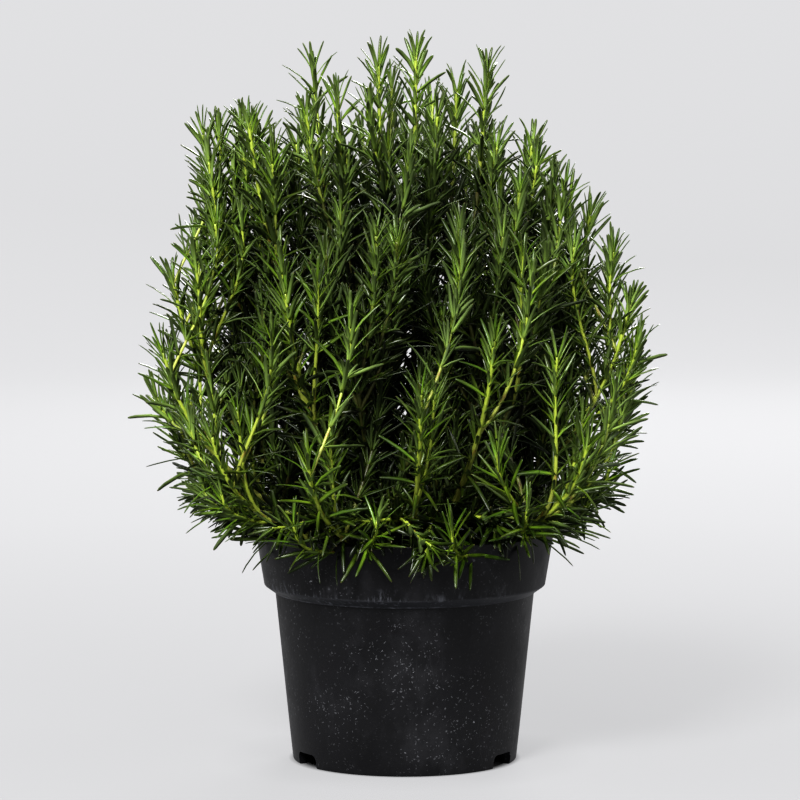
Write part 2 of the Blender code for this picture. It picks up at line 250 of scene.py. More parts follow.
def make_pot_plastic():
    """Black moulded plastic with dust in its pores, fine scuffs and a rubbed collar edge, with a painted
    highlight on that edge and painted bounce light under the collar.
    """
    material, shader = material_of("black_pot_plastic", 0.5, Specular_IOR_Level=0.26)
    even = place_of(material)
    blotches = grain(material, even, 26, 5, 0.6)
    base = blend_colour(material, blotches, (0.0022, 0.0022, 0.0026), (0.0062, 0.0062, 0.0074))
    film = stretch(material, grain(material, place_of(material, (1, 1, 0.7)), 40, 6, 0.65), 0.5, 0.8)
    filmed = blend_colour(material, times(material, film, 0.07), base, (0.12, 0.12, 0.135))
    spotted = blend_colour(material, loose_dust(material, even), filmed, (0.32, 0.325, 0.345))
    scuffed = blend_colour(material, times(material, scratches(material), 0.12), spotted, (0.12, 0.12, 0.13))
    # Smudges and a rubbed edge on the collar, with a painted highlight and painted bounce light among them
    rubbed_and_painted_light = blend_colour(material, collar_wear_and_painted_light(material, even), scuffed, (0.3, 0.31, 0.35))
    link(material, rubbed_and_painted_light, shader.inputs["Base Color"])
    worn = stretch(material, blotches, 0.3, 0.7, 0.40, 0.56)
    dulled = calculate(material, "ADD", worn, times(material, film, 0.2))
    link(material, dulled, shader.inputs["Roughness"])
    fine = times(material, grain(material, even, 330, 3), 1.6)
    skin = calculate(material, "ADD", fine, times(material, blotches, 2.5))
    roughen(material, shader, skin, 0.3, 0.12 * MM)
    return material


def loose_dust(material, even):
    """A haze of fine dust, specks and a few bright flakes, all of them in patches."""
    wander = add_node(material, "TexNoise", {"Vector": even, "Scale": 420.0, "Detail": 3.0})
    inputs = {0: wander.outputs["Color"], 1: (0.0045, 0.0045, 0.0045), 2: even}
    bent = add_node(material, "VectorMath", inputs, operation="MULTIPLY_ADD").outputs["Vector"]
    haze = times(material, dust_grains(material, bent, 540, 0.34, 0.62), 0.17)
    specks = times(material, dust_grains(material, bent, 420, 0.19, 0.93), 0.42)
    flakes = times(material, dust_grains(material, bent, 230, 0.11, 0.965), 0.95)
    dust = calculate(material, "MAXIMUM", haze, calculate(material, "MAXIMUM", specks, flakes))
    patches = stretch(material, grain(material, even, 21, 2), 0.42, 0.56, 0.15, 1)
    return times(material, dust, patches)


def dust_grains(material, place, scale, size, rare):
    """Scattered grains of dust: the size is a share of their spacing, and rare is how few show."""
    cells = add_node(material, "TexVoronoi", {"Vector": place, "Scale": float(scale), "Randomness": 1.0})
    drawn = add_node(material, "SeparateColor", {"Color": cells.outputs["Color"]})
    shape = stretch(material, cells.outputs["Distance"], size * 0.5, size, 1, 0)
    chosen = stretch(material, drawn.outputs["Red"], rare, rare + 0.02)
    return times(material, shape, chosen)


def collar_wear_and_painted_light(material, even):
    """Pale smudges low on the collar, a pale band over the slope under it that is partly dust and partly
    painted bounce light, and a line along the edge under that which is partly rubbed and partly a painted
    highlight.
    """
    parts = add_node(material, "SeparateXYZ", {"Vector": even})
    height, side = parts.outputs["Z"], parts.outputs["X"]
    runs = grain(material, place_of(material, (1, 1, 0.3)), 330, 4, 0.6)
    patchy = stretch(material, grain(material, even, 34, 3), 0.42, 0.62)
    low = stretch(material, height, COLLAR_BOTTOM - 3 * MM, COLLAR_BOTTOM + 9 * MM, 1, 0)
    smudges = times(material, stretch(material, runs, 0.5, 0.72), times(material, patchy, low))
    smudges = times(material, smudges, stretch(material, side, -0.03, 0.05, 0.5, 0.16))
    collar_only = calculate(material, "GREATER_THAN", height, SHOULDER + 0.1 * MM)
    # A pale band over the slope under the collar: partly dust, partly painted bounce light
    under = stretch(material, height, COLLAR_BOTTOM - 0.6 * MM, COLLAR_BOTTOM + 1.2 * MM, 0.1, 0)
    smudges = calculate(material, "MAXIMUM", times(material, smudges, 1.6), under)
    smudges = times(material, smudges, collar_only)
    # The edge line is partly rubbed plastic and partly a painted highlight, brighter on the left
    from_edge = distance_from(material, height, SHOULDER + 0.7 * MM)
    line = stretch(material, from_edge, 0.25 * MM, 0.6 * MM, 1, 0)
    rubbed_and_painted_light = stretch(material, grain(material, even, 120, 4, 0.7), 0.4, 0.62, 0.05, 0.5)
    side_share = stretch(material, side, -0.01, 0.06, 1, 0.35)
    line = times(material, line, times(material, rubbed_and_painted_light, side_share))
    return calculate(material, "MAXIMUM", smudges, line)


def scratches(material):
    """Short slanted lines where the pot has rubbed on its neighbours."""
    slanted = place_of(material, (240, 240, 60), (0.35, 0.5, 0.2))
    lines = grain(material, slanted, 1.0, 2, 0.4)
    thin = stretch(material, distance_from(material, lines, 0.5), 0.0, 0.012, 1, 0)
    where = stretch(material, grain(material, place_of(material), 22, 2), 0.56, 0.68)
    return times(material, thin, where)


def make_soil_earth():
    """Dark, crumbly earth with pale fibres in it."""
    material, shader = material_of("potting_soil", 0.95, Specular_IOR_Level=0.2)
    even = place_of(material)
    lumps = grain(material, even, 160, 6, 0.7)
    lit = stretch(material, lumps, 0.35, 0.7)
    base = blend_colour(material, lit, (0.008, 0.0055, 0.004), (0.05, 0.032, 0.02))
    fibre = stretch(material, grain(material, place_of(material, (60, 700, 200)), 1, 2), 0.66, 0.72)
    link(material, blend_colour(material, fibre, base, (0.13, 0.085, 0.05)), shader.inputs["Base Color"])
    roughen(material, shader, grain(material, even, 500, 4), 0.7, 0.6 * MM)
    return material


def make_grit():
    material, shader = material_of("pale_grit", 0.85)
    mottle = grain(material, place_of(material), 420, 3)
    base = blend_colour(material, mottle, (0.28, 0.26, 0.22), (0.62, 0.6, 0.55))
    link(material, base, shader.inputs["Base Color"])
    return material


def chart_place(material):
    """Where a point lies on the piece's own chart."""
    chart = add_node(material, "UVMap", uv_map="OFBake").outputs["UV"]
    parts = add_node(material, "SeparateXYZ", {"Vector": chart})
    return parts.outputs["X"], parts.outputs["Y"]


def ages_and_painted_shade(material, age_and_shade, young, grown, deep):
    """Colours of a shoot's tip and of its grown part, then the painted shade of what stands deep in the bush.
    """
    outer = blend_colour(material, stretch(material, age_and_shade, 0, GROWN_AGE), young, grown)
    return blend_colour(material, stretch(material, age_and_shade, GROWN_AGE, 1), outer, deep)


def make_needle_skin():
    """Leathery needle: dark and glossy above with a pale midrib, dull and paler underneath, and painted shade
    on needles deep in the bush.
    """
    material, shader = material_of("rosemary_needle", 0.4, Specular_IOR_Level=0.3)
    across_all, along_all = chart_place(material)
    columns = times(material, across_all, SHADES)
    rows = times(material, along_all, TRIALS)
    column = calculate(material, "FLOOR", columns)
    row = calculate(material, "FLOOR", rows)
    across = calculate(material, "FRACT", columns)
    along = calculate(material, "FRACT", rows)
    # The column holds the needle's age and, past GROWN_AGE, painted shade deep in the bush
    age_and_shade = calculate(material, "DIVIDE", column, SHADES - 1)
    cell = {"Vector": flat_place(material, column, row)}
    chance = add_node(material, "TexWhiteNoise", cell, noise_dimensions="2D").outputs["Value"]
    upper = ages_and_painted_shade(material, age_and_shade, (0.056, 0.114, 0.008), (0.023, 0.049, 0.004), (0.004, 0.009, 0.001))
    warmed = ages_and_painted_shade(material, age_and_shade, (0.063, 0.097, 0.006), (0.03, 0.045, 0.0045), (0.007, 0.009, 0.002))
    warm = blend_colour(material, chance, upper, warmed)
    fleck_place = flat_place(material, times(material, columns, 3.0), times(material, rows, 7.0))
    mottle = grain(material, fleck_place, 1.6, 3)
    darker = blend_colour(material, 0.5, warm, (0, 0, 0))
    mottled = blend_colour(material, stretch(material, mottle, 0.45, 0.8, 0, 0.7), warm, darker)
    under = ages_and_painted_shade(material, age_and_shade, (0.09, 0.135, 0.035), (0.042, 0.064, 0.018), (0.01, 0.015, 0.004))
    is_under = calculate(material, "GREATER_THAN", across, UNDER_FROM)
    two_sided = blend_colour(material, is_under, mottled, under)
    from_rib = distance_from(material, across, MIDRIB)
    rib = stretch(material, from_rib, 0.012, 0.045, 1, 0)
    vein = ages_and_painted_shade(material, age_and_shade, (0.15, 0.22, 0.035), (0.08, 0.125, 0.02), (0.014, 0.022, 0.003))
    ribbed = blend_colour(material, times(material, rib, 0.6), two_sided, vein)
    margin = stretch(material, from_rib, 0.25, 0.29, 0, 0.3)
    edged = blend_colour(material, margin, ribbed, vein)
    tone = stretch(material, along, 0.2, 0.8, 1.52, 0.44)
    toned = add_node(material, "VectorMath", {0: edged, "Scale": tone}, operation="SCALE").outputs["Vector"]
    base_share = stretch(material, along, 0.06, 0.3, 0.8, 0)
    root = ages_and_painted_shade(material, age_and_shade, (0.19, 0.26, 0.032), (0.1, 0.135, 0.018), (0.015, 0.02, 0.004))
    based = blend_colour(material, base_share, toned, root)
    dry = times(material, stretch(material, along, 0.93, 0.97), stretch(material, chance, 0.55, 0.7))
    tipped = blend_colour(material, times(material, dry, 0.6), based, (0.12, 0.085, 0.035))
    link(material, tipped, shader.inputs["Base Color"])
    gloss = stretch(material, mottle, 0.3, 0.7, 0.3, 0.42)
    dulled = calculate(material, "ADD", gloss, times(material, is_under, 0.3))
    link(material, dulled, shader.inputs["Roughness"])
    return material


def make_stem_bark():
    """Young green at the tip, through olive with rusty joints, to grey-brown wood low down, with painted
    shade on stems deep in the bush.
    """
    material, shader = material_of("rosemary_stem", 0.5, Specular_IOR_Level=0.4)
    across_all, down = chart_place(material)
    columns = times(material, across_all, STEM_SHADES)
    around = calculate(material, "FRACT", columns)
    shade = calculate(material, "DIVIDE", calculate(material, "FLOOR", columns), STEM_SHADES - 1)
    place = flat_place(material, times(material, around, 6.0), times(material, down, 60.0))
    streaks = grain(material, place, 1.3, 4, 0.6)
    young = blend_colour(material, streaks, (0.15, 0.2, 0.025), (0.29, 0.35, 0.05))
    middle = blend_colour(material, streaks, (0.21, 0.225, 0.05), (0.37, 0.35, 0.1))
    old = blend_colour(material, streaks, (0.06, 0.042, 0.022), (0.16, 0.12, 0.065))
    greener = blend_colour(material, stretch(material, down, 0.12, 0.4), young, middle)
    wooded = blend_colour(material, stretch(material, down, 0.68, 0.92), greener, old)
    rusty = stretch(material, grain(material, place, 0.45, 2), 0.6, 0.68, 0, 0.7)
    jointed = blend_colour(material, rusty, wooded, (0.2, 0.085, 0.025))
    # Painted shade: the chart's column darkens stems deep in the bush
    shaded = blend_colour(material, times(material, shade, 0.88), jointed, (0.008, 0.007, 0.003))
    link(material, shaded, shader.inputs["Base Color"])
    link(material, stretch(material, down, 0.2, 0.8, 0.42, 0.8), shader.inputs["Roughness"])
    return material


def start_ring(name, radius, height, sides):
    """A level ring of edges, left selected in edit mode."""
    bpy.ops.object.select_all(action="DESELECT")
    bpy.ops.mesh.primitive_circle_add(vertices=sides, radius=radius, location=(0, 0, height))
    ring = bpy.context.object
    ring.name = name
    bpy.ops.object.transform_apply(location=True)
    bpy.ops.object.mode_set(mode="EDIT")
    bpy.ops.mesh.select_all(action="SELECT")
    return ring


def turn_outline(name, outline, sides):
    """A round shell drawn up ring by ring through (radius, height) points, closed at both ends."""
    shell = start_ring(name, *outline[0], sides)
    bpy.ops.mesh.edge_face_add()
    bpy.ops.mesh.select_mode(type="EDGE")
    for (radius, height), (next_radius, next_height) in zip(outline, outline[1:]):
        lift = {"value": (0, 0, next_height - height)}
        if (radius, height) == outline[0]:
            select_ring(shell, height)
        bpy.ops.mesh.extrude_edges_move(TRANSFORM_OT_translate=lift)
        widen = next_radius / radius
        bpy.ops.transform.resize(value=(widen, widen, 1), center_override=(0, 0, 0))
    bpy.ops.mesh.edge_face_add()
    bpy.ops.mesh.select_all(action="SELECT")
    bpy.ops.mesh.normals_make_consistent(inside=False)
    bpy.ops.object.mode_set(mode="OBJECT")
    return shell


def select_ring(shell, height):
    """Only the boundary edges at this height, not the face that fills them."""
    shape = bmesh.from_edit_mesh(shell.data)
    for face in shape.faces:
        face.select = False
    for edge in shape.edges:
        edge.select = all(abs(v.co.z - height) < 0.01 * MM for v in edge.verts)
    bmesh.update_edit_mesh(shell.data)


def arc(centre, radius, start, end, count):
    """Points of an arc in the outline's plane, by angle in degrees."""
    angles = (math.radians(start + (end - start) * k / count) for k in range(count + 1))
    return [(centre[0] + radius * math.cos(a), centre[1] + radius * math.sin(a)) for a in angles]


def body_radius(height):
    return FOOT_RADIUS + (SHOULDER_RADIUS - FOOT_RADIUS) * height / SHOULDER


def collar_radius(height):
    return COLLAR_FOOT + (RIM_RADIUS - COLLAR_FOOT) * (height - COLLAR_BOTTOM) / (POT_HEIGHT - COLLAR_BOTTOM)


def apply_all(obj):
    bpy.context.view_layer.objects.active = obj
    for modifier in list(obj.modifiers):
        bpy.ops.object.modifier_apply(modifier=modifier.name)


def smooth_by_angle(obj, degrees):
    bpy.ops.object.select_all(action="DESELECT")
    obj.select_set(True)
    bpy.context.view_layer.objects.active = obj
    bpy.ops.object.shade_smooth_by_angle(angle=math.radians(degrees))


def mesh_object(name, points, faces):
    mesh = bpy.data.meshes.new(name)
    mesh.from_pydata(points, [], faces)
    obj = bpy.data.objects.new(name, mesh)
    bpy.context.scene.collection.objects.link(obj)
    return obj


def write_chart(obj, places):
    """Gives every face corner its place on the chart that the leaf and stem colours read."""
    layer = obj.data.uv_layers.new(name="OFBake")
    layer.data.foreach_set("uv", np.asarray(places, np.float32).ravel())


def finish_piece(obj, material, slot, *nodes):
    obj.data.materials.clear()
    obj.data.materials.append(material)
    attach(obj, "root")
    if nodes:
        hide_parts(*nodes)
    return obj


def make_pot(material):
    lip = WALL / 2
    rim = arc((RIM_RADIUS - lip, POT_HEIGHT - lip), lip, 10, 170, 6)
    collar_corner = arc((COLLAR_FOOT - 1.6 * MM, COLLAR_BOTTOM + 0.9 * MM), 1.6 * MM, -55, -5, 4)
    foot_corner = arc((FOOT_RADIUS - 1.2 * MM, 1.2 * MM), 1.2 * MM, -90, -8, 4)
    foot_inside = FOOT_RADIUS - 4.4 * MM
    outline = [
        (foot_inside, FLOOR_UNDER),
        (foot_inside + 0.1 * MM, 0.4 * MM),
        (foot_inside + 0.5 * MM, 0),
        *foot_corner,
        (body_radius(20 * MM), 20 * MM),
        (body_radius(60 * MM), 60 * MM),
        (SHOULDER_RADIUS - 0.15 * MM, SHOULDER - 1.4 * MM),
        (SHOULDER_RADIUS + 0.35 * MM, SHOULDER + 0.2 * MM),
        *collar_corner,
        (collar_radius(COLLAR_BOTTOM + 15 * MM), COLLAR_BOTTOM + 15 * MM),
        *rim,
        (collar_radius(COLLAR_BOTTOM + 2 * MM) - WALL, COLLAR_BOTTOM + 2 * MM),
        (SHOULDER_RADIUS - WALL, SHOULDER),
        (body_radius(10 * MM) - WALL, 10 * MM),
        (body_radius(FLOOR_UNDER) - 1.5 * WALL, FLOOR_UNDER + WALL),
    ]
    pot = turn_outline("nursery_pot", outline, POT_SIDES)
    for angle in NOTCH_ANGLES:
        cut_notch(pot, angle)
    smooth_by_angle(pot, 32)
    return finish_piece(pot, material, "black_plastic", "pot")


def cut_notch(pot, degrees):
    """A drain notch with two round upper corners, through the wall and the floor's edge."""
    height = NOTCH_TOP + FLOOR_UNDER
    bpy.ops.object.select_all(action="DESELECT")
    bpy.ops.mesh.primitive_cube_add(size=1)
    cutter = bpy.context.object
    for vertex in cutter.data.vertices:
        vertex.co = (vertex.co.x * NOTCH_DEPTH, vertex.co.y * NOTCH_WIDTH, vertex.co.z * height)
    bpy.ops.object.mode_set(mode="EDIT")
    bpy.ops.mesh.select_mode(type="EDGE")
    bpy.ops.mesh.select_all(action="DESELECT")
    shape = bmesh.from_edit_mesh(cutter.data)
    for edge in shape.edges:
        ends = [v.co for v in edge.verts]
        edge.select = all(p.z > 0 for p in ends) and abs(ends[0].y - ends[1].y) < MM
    bmesh.update_edit_mesh(cutter.data)
    bpy.ops.mesh.bevel(offset=NOTCH_CORNER, segments=6)
    bpy.ops.object.mode_set(mode="OBJECT")
    turn = Matrix.Rotation(math.radians(degrees), 4, "Z")
    cutter.data.transform(turn @ Matrix.Translation((FOOT_RADIUS, 0, NOTCH_TOP - height / 2)))
    boolean = pot.modifiers.new("Notch", "BOOLEAN")
    boolean.operation = "DIFFERENCE"
    boolean.solver = "EXACT"
    boolean.object = cutter
    apply_all(pot)
    bpy.data.objects.remove(cutter)


def soil_height(radius):
    """The soil's top, domed in the middle and sunken at the wall."""
    if radius < SOIL_DOME:
        return SOIL_TOP + (4 - 2 * radius / SOIL_DOME) * MM
    return SOIL_TOP + (2 - 4 * (radius - SOIL_DOME) / (RIM_RADIUS - SOIL_DOME)) * MM


def make_soil(material):
    """One body of earth that fills the pot, with a lumpy top."""
    edge = collar_radius(SOIL_TOP) - SOIL_GAP - 0.6 * MM
    rings = [edge * (1 - k / SOIL_RINGS) for k in range(SOIL_RINGS)]
    outline = [
        (body_radius(10 * MM) - SOIL_GAP - 3 * MM, 8.2 * MM),
        (body_radius(16 * MM) - SOIL_GAP, 16 * MM),
        (SHOULDER_RADIUS - SOIL_GAP, SHOULDER + 0.3 * MM),
        (COLLAR_FOOT - SOIL_GAP, COLLAR_BOTTOM + 2.6 * MM),
        *((radius, soil_height(radius) - 0.4 * MM) for radius in rings),
    ]
    soil = turn_outline("potting_soil", outline, SOIL_SIDES)
    for vertex in soil.data.vertices:
        radius = vertex.co.xy.length
        if vertex.co.z > SOIL_TOP - 3 * MM and radius < edge * 0.995:
            lump = noise.fractal(vertex.co / (9 * MM), 0.9, 2.1, 5)
            vertex.co.z += (1.3 * lump - 0.6) * MM
    soil.data.shade_smooth()
    return finish_piece(soil, material, "potting_soil", "soil")


def scatter_grains(name, count, smallest, largest, seed, material):
    """One rough grain, modelled once and strewn over the soil in many sizes."""
    bpy.ops.mesh.primitive_ico_sphere_add(subdivisions=1, radius=1)
    model = bpy.context.object
    points = np.array([v.co for v in model.data.vertices])
    faces = np.array([list(p.vertices) for p in model.data.polygons])
    bpy.data.objects.remove(model)
    chance = np.random.default_rng(seed)
    reach = collar_radius(SOIL_TOP) - WALL - 3 * MM
    all_points, all_faces = [], []
    for index in range(count):
        radius = reach * math.sqrt(chance.uniform(0.002, 1))
        angle = chance.uniform(0, math.tau)
        size = chance.uniform(smallest, largest) * chance.uniform(0.6, 1)
        rough = points * chance.uniform(0.7, 1.3, (len(points), 1)) * chance.uniform(0.6, 1.3, 3)
        turn = np.array(Matrix.Rotation(chance.uniform(0, math.tau), 3, Vector(chance.normal(size=3))))
        centre = (radius * math.cos(angle), radius * math.sin(angle), soil_height(radius) - 0.5 * MM)
        all_points.append(rough @ turn.T * size + centre)
        all_faces.append(faces + index * len(points))
    obj = mesh_object(name, np.concatenate(all_points).tolist(), np.concatenate(all_faces).tolist())
    return finish_piece(obj, material, "potting_soil")


class Route:
    """A shoot's smooth centre line, with two directions square to it at every point."""

    STEP = 1.5 * MM

    def __init__(self, points, base_radius, tip_radius):
        fine = smooth_line(points)
        lengths = np.concatenate([[0], np.cumsum(np.linalg.norm(np.diff(fine, axis=0), axis=1))])
        self.length = float(lengths[-1])
        marks = np.linspace(0, self.length, max(int(self.length / self.STEP), 8))
        self.points = np.stack([np.interp(marks, lengths, fine[:, k]) for k in range(3)], axis=1)
        self.marks = marks
        along = np.gradient(self.points, axis=0)
        self.along = along / np.linalg.norm(along, axis=1, keepdims=True)
        self.side = carried_sides(self.along)
        self.radii = np.interp(marks, [0, self.length], [base_radius, tip_radius])
        self.aged_and_shaded = 0.0  # how much older its leaves look, and how much more painted shade they take
        self.broad = 1.0  # and how much broader they are

    def at(self, distance):
        """Point, direction, side direction and radius this far along."""
        index = min(int(round(distance / self.length * (len(self.marks) - 1))), len(self.marks) - 1)
        return self.points[index], self.along[index], self.side[index], self.radii[index]


def smooth_line(points, between=12):
    """A Catmull-Rom line through the points."""
    points = np.asarray(points)
    padded = np.vstack([2 * points[0] - points[1], points, 2 * points[-1] - points[-2]])
    line = []
    for a, b, c, d in zip(padded, padded[1:], padded[2:], padded[3:]):
        for t in np.arange(between) / between:
            square = (2 * a - 5 * b + 4 * c - d) * t**2
            cube = (3 * b - a - 3 * c + d) * t**3
            line.append(0.5 * (2 * b + (c - a) * t + square + cube))
    return np.array([*line, points[-1]])


def carried_sides(along):
    """A side direction carried along the line without twisting."""
    side = np.cross(along[-1], (0.2, 0.9, 0.4))
    sides = []
    for direction in along:
        side = side - direction * side.dot(direction)
        side = side / np.linalg.norm(side)
        sides.append(side)
    return np.array(sides)


def stem_route(node):
    """Reads a stem's centre line from its rings, which start with its four lowest corners."""
    shape = bmesh.new()
    shape.from_mesh(node.data)
    bmesh.ops.remove_doubles(shape, verts=shape.verts, dist=0.01 * MM)
    ring = sorted(shape.verts, key=lambda v: v.co.z)[:4]
    seen = set(ring)
    rings = []
    while ring:
        rings.append(ring)
        ring = list({e.other_vert(v) for v in ring for e in v.link_edges} - seen)
        seen.update(ring)
    centres = [sum((v.co for v in r), Vector()) / len(r) for r in rings]
    radii = [sum((v.co - c).length for v in r) / len(r) for r, c in zip(rings, centres)]
    shape.free()
    return Route([tuple(c) for c in centres], radii[0], radii[-1])


def side_route(routes, azimuth, reach, height):
    """A side shoot that leaves the nearest main stem and turns up to its own tip."""
    out = np.array([math.cos(math.radians(azimuth)), math.sin(math.radians(azimuth)), 0])
    tip = out * reach * MM + np.array([0, 0, (height - LEAVES_PAST_TIP) * MM])
    best = None
    for route in routes:
        rise = tip[2] - route.points[:, 2]
        aside = np.linalg.norm((tip - route.points)[:, :2], axis=1)
        cost = np.abs(rise - FORK_UNDER) + np.abs(aside - FORK_ASIDE) * 1.5
        cost[(rise < FORK_LEAST) | (route.marks < FORK_LEAST)] = 9
        index = int(cost.argmin())
        if best is None or cost[index] < best[0]:
            best = (cost[index], route, index)
    _, parent, index = best
    start, start_along = parent.points[index], parent.along[index]
    span = np.linalg.norm(tip - start)
    away = (tip - start) * (1, 1, 0.2)
    away = away / max(np.linalg.norm(away), MM)
    leaves = start_along * 0.6 + away * 0.7
    leaves = leaves / np.linalg.norm(leaves)
    upright = out * 0.16 + np.array([0, 0, 1])
    upright = upright / np.linalg.norm(upright)
    t = np.linspace(0, 1, 9)[:, None]
    first, second = start + leaves * span * 0.35, tip - upright * span * 0.38
    points = (1 - t) ** 3 * start + 3 * (1 - t) ** 2 * t * first + 3 * (1 - t) * t**2 * second + t**3 * tip
    return Route(points, min(1.25 * MM, parent.radii[index] * 0.85), 0.75 * MM)


def unit(vector):
    return vector / max(np.linalg.norm(vector), 1e-9)


def read_table(table, distance):
    """The table's value, in its own mm or degrees, at a distance given in metres."""
    return float(np.interp(distance / MM, *zip(*table)))


def dome_height(reach):
    """How high the bush stands at this distance from its axis."""
    return read_table(BUSH_HEIGHT, reach) * MM


def inner_share(point):
    """0 for what stands at the bush's surface, up to 1 for what is deep in its shade."""
    x, y, z = point
    reach = math.hypot(x, y)
    depth = min(read_table(BUSH_REACH, z) * MM - reach, (dome_height(reach) - z) * 0.6)
    return min(max((depth / MM - 18) / 42, 0.0), 1.0)


def depth_share(route):
    """How much painted shade a shoot's needles and stem take: less on the low ones at the bush's surface."""
    tip = route.points[-1]
    return 0.5 if tip[2] < 340 * MM and inner_share(tip) < 0.3 else 1.0


def fill_shoots():
    """Direction, reach and height of the shoots that fill the bush, kept back behind its front."""
    chance = random.Random(11)
    tips = []
    for count, widest, low, high in FILL_TIERS:
        for index in range(count):
            reach = widest * math.sqrt((index + 0.5) / count)
            height = dome_height(reach * MM) / MM * chance.uniform(low, high)
            azimuth = (index * GOLDEN_ANGLE + count) % 360
            if 205 < azimuth < 335 and height < 330:
                reach = min(reach, 70)
            tips.append((azimuth, reach, max(height, 170)))
    return tips


def skirt_route(azimuth, sweep, reach, height):
    """A low shoot that climbs from the soil, lies over the rim and hangs outside it."""
    steps = ((56, 133, 0), (68, 156, 0.1), (88, 163, 0.45), (104, 0.6 * height + 64, 0.8), (reach, height, 1))
    points = []
    for out, up, share in steps:
        angle = math.radians(azimuth + sweep * share)
        points.append((out * math.cos(angle) * MM, out * math.sin(angle) * MM, up * MM))
    route = Route(points, 1.3 * MM, 0.8 * MM)
    route.aged_and_shaded, route.broad = LOW_SHOOT_AGED_AND_SHADED, LOW_SHOOT_BROAD
    return route


def needle_model():
    """One needle along X, a unit long and wide: its points, faces and place on the leaf chart."""
    section = ((-0.5, -0.08), (-0.24, 0.13), (0.24, 0.13), (0.5, -0.08), (0, -0.16))
    stations = ((0.0, 0.5), (0.12, 0.84), (0.45, 1.0), (0.8, 0.93), (0.95, 0.66), (1.0, 0.26))
    bpy.ops.mesh.primitive_circle_add(
        vertices=len(section), radius=0.5, fill_type="NGON", rotation=(0, math.pi / 2, 0)
    )
    leaf = bpy.context.object
    bpy.ops.object.transform_apply(rotation=True)
    for vertex, (across, up) in zip(leaf.data.vertices, section):
        vertex.co = (0, across * stations[0][1], up * stations[0][1])
    bpy.ops.object.mode_set(mode="EDIT")
    bpy.ops.mesh.select_all(action="SELECT")
    for (start, width), (end, next_width) in zip(stations, stations[1:]):
        bpy.ops.mesh.extrude_region_move(TRANSFORM_OT_translate={"value": (end - start, 0, 0)})
        change = next_width / width
        bpy.ops.transform.resize(value=(1, change, change), center_override=(end, 0, 0))
    bpy.ops.mesh.select_all(action="SELECT")
    bpy.ops.mesh.normals_make_consistent(inside=False)
    bpy.ops.object.mode_set(mode="OBJECT")
    points = np.array([v.co for v in leaf.data.vertices])
    faces = [list(p.vertices) for p in leaf.data.polygons]
    chart = []
    for face in leaf.data.polygons:
        above = face.normal.z > 0
        for index in face.vertices:
            along, across, _ = points[index]
            place = MIDRIB + across * UPPER_SPAN if above else UNDER_MIDDLE + across * UNDER_SPAN
            chart.append((place, along))
    bpy.data.objects.remove(leaf)
    return points, faces, np.array(chart)


def hits_pot(points):
    """True if any of these points is in the pot's wall or in the soil."""
    for x, y, z in points:
        radius = math.hypot(x, y)
        if z < POT_HEIGHT + 1.2 * MM and radius < collar_radius(min(z, POT_HEIGHT)) + 1.5 * MM:
            if radius > RIM_RADIUS - WALL - 5 * MM or z < soil_height(radius) + 1 * MM:
                return True
    return False


